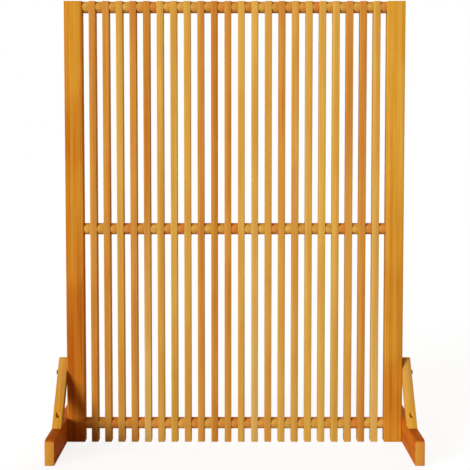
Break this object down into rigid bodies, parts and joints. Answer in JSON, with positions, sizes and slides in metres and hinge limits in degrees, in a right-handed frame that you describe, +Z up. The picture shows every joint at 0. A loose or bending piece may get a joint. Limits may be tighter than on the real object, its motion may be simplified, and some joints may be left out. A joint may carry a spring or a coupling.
{
  "type": "garden privacy screen",
  "caption": "Free-standing wooden garden screen: upright slats kept apart by rows of round spacers, between two posts on braced floor feet.",
  "frame": {"origin": "on the ground, under the middle of the screen, halfway along the feet", "axes": "+X along the screen to the viewer's right, +Y from the front, where the braces are, to the back, +Z up"},
  "size_m": [1.4642, 0.7, 1.8],
  "materials": {
    "post_wood": "planed hardwood, oiled in a warm honey tone, satin",
    "slat_wood": "planed hardwood, oiled in a warm honey tone, each slat its own tint, satin",
    "spacer_wood": "turned hardwood, oiled, each spacer its own tint, satin",
    "foot_wood": "planed hardwood, oiled, satin",
    "rod_wood": "plain pale hardwood dowel, unfinished",
    "zinc_steel": "dull zinc-plated steel"
  },
  "bodies": {
    "root": {"left_post": "post_wood", "right_post": "post_wood", "slat_01": "slat_wood", "slat_02": "slat_wood", "slat_03": "slat_wood", "slat_04": "slat_wood", "slat_05": "slat_wood", "slat_06": "slat_wood", "slat_07": "slat_wood", "slat_08": "slat_wood", "slat_09": "slat_wood", "slat_10": "slat_wood", "slat_11": "slat_wood", "slat_12": "slat_wood", "slat_13": "slat_wood", "slat_14": "slat_wood", "slat_15": "slat_wood", "slat_16": "slat_wood", "slat_17": "slat_wood", "slat_18": "slat_wood", "slat_19": "slat_wood", "slat_20": "slat_wood", "slat_21": "slat_wood", "slat_22": "slat_wood", "spacers_top": "spacer_wood", "spacers_middle": "spacer_wood", "spacers_bottom": "spacer_wood", "dowel_rod_top": "rod_wood", "dowel_rod_middle": "rod_wood", "dowel_rod_bottom": "rod_wood", "left_foot_beam": "foot_wood", "right_foot_beam": "foot_wood", "left_brace": "foot_wood", "right_brace": "foot_wood", "brace_coach_screws": "zinc_steel", "beam_coach_screws": "zinc_steel", "brace_foot_screws": "zinc_steel"}
  },
  "joints": []
}
